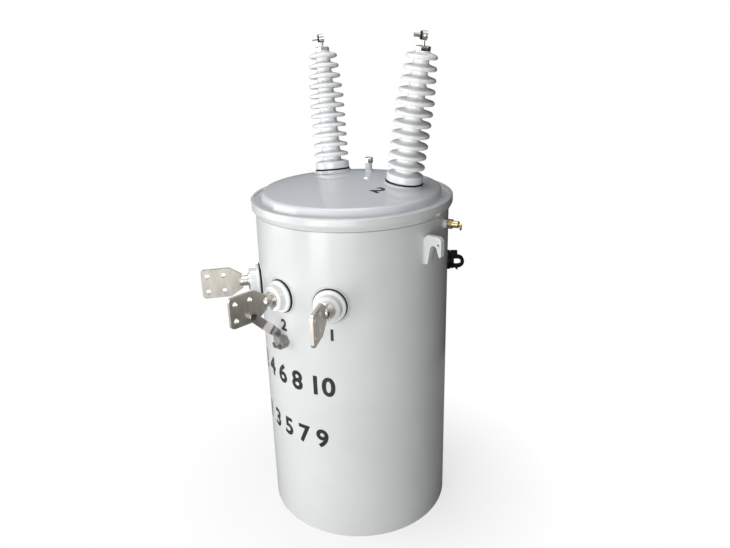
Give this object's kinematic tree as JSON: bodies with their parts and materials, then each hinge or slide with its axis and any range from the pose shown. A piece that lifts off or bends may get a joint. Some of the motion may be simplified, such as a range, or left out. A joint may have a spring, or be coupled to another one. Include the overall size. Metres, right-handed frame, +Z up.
{
  "type": "pole mounted transformer",
  "caption": "Pole mounted distribution transformer: round grey oil tank with a clamped domed cover, porcelain bushings, spade terminals, lifting lugs and a turning tap handle.",
  "frame": {"origin": "centre of the tank's foot at ground level", "axes": "+Z up along the tank's axis, -Y towards the low voltage terminals, +Y towards the pole, +X towards the right lifting lug"},
  "size_m": [0.635, 0.7585, 1.3545],
  "materials": {
    "tank_paint": "gloss",
    "core": "matte",
    "porcelain": "gloss",
    "gasket": "matte",
    "hv_metal": "satin",
    "stud_metal": "satin",
    "spade_metal": "satin",
    "boss_steel": "satin",
    "bolt_steel": "satin",
    "plug_chrome": "polished",
    "valve_brass": "satin",
    "tap_black": "satin"
  },
  "bodies": {
    "transformer": {"tank_wall": "tank_paint", "tank_bottom": "tank_paint", "core_and_coils": "core", "cover": "tank_paint", "cover_clamp_ring": "tank_paint", "clamp_ring_bolt": "bolt_steel", "hv_seat_1": "tank_paint", "hv_gasket_1": "gasket", "hv_bushing_1": "porcelain", "hv_cap_1": "hv_metal", "hv_terminal_1": "hv_metal", "hv_seat_2": "tank_paint", "hv_gasket_2": "gasket", "hv_bushing_2": "porcelain", "hv_cap_2": "hv_metal", "hv_terminal_2": "hv_metal", "filler_stub": "tank_paint", "filler_plug": "plug_chrome", "lv_collar_1": "tank_paint", "lv_gasket_1": "gasket", "lv_bushing_1": "porcelain", "lv_stud_1": "stud_metal", "lv_spade_1": "spade_metal", "lv_collar_2": "tank_paint", "lv_gasket_2": "gasket", "lv_bushing_2": "porcelain", "lv_stud_2": "stud_metal", "lv_spade_2": "spade_metal", "lv_collar_3": "tank_paint", "lv_gasket_3": "gasket", "lv_bushing_3": "porcelain", "lv_stud_3": "stud_metal", "lv_spade_3": "spade_metal", "ground_boss": "boss_steel", "ground_strap": "spade_metal", "strap_bolt_upper": "bolt_steel", "strap_bolt_lower": "bolt_steel", "lifting_lug_right": "tank_paint", "lifting_lug_left": "tank_paint", "support_lug_upper": "tank_paint", "support_lug_lower": "tank_paint", "relief_boss": "tank_paint", "relief_valve": "valve_brass", "tap_base": "tap_black"},
    "tap": {"tap_handle": "tap_black"}
  },
  "joints": [
    {"name": "tap_turn", "type": "hinge", "parent": "transformer", "child": "tap", "pos_m": [0.20604, 0.1791, 0.749], "axis": [0.7547, 0.6561, 0], "range_deg": [-60, 60]}
  ]
}
